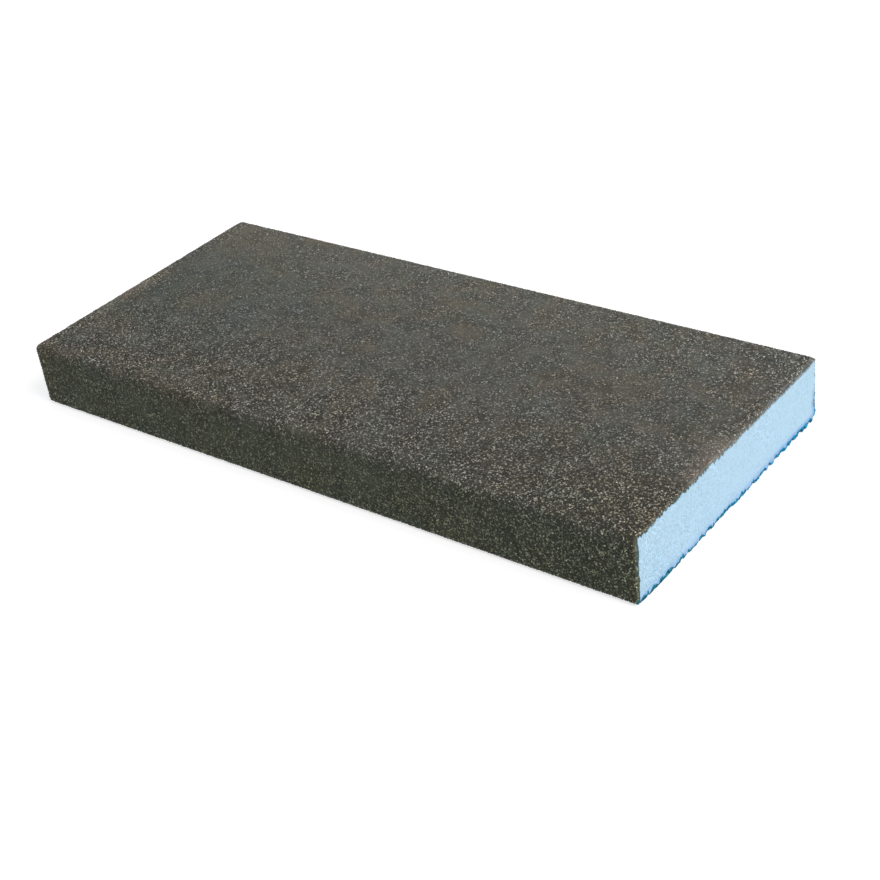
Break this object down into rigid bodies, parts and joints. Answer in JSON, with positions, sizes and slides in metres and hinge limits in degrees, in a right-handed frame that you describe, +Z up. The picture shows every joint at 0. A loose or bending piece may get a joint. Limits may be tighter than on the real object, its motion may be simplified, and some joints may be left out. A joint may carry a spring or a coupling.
{
  "type": "sanding sponge",
  "caption": "Flat rectangular foam slab wrapped along its length in dark abrasive grit, with bare cut foam at both ends, for sanding by hand.",
  "frame": {"origin": "centre of the underside", "axes": "+X along the length from one cut end to the other, +Y across the width, +Z up through the thickness"},
  "size_m": [0.135, 0.06, 0.013],
  "materials": {
    "foam": "open-celled cut foam, pale blue, matt",
    "grit": "abrasive grains in a dark binder, coarse and matt with fine sparkles"
  },
  "bodies": {
    "root": {"foam_core": "foam", "abrasive_coat": "grit"}
  },
  "joints": []
}
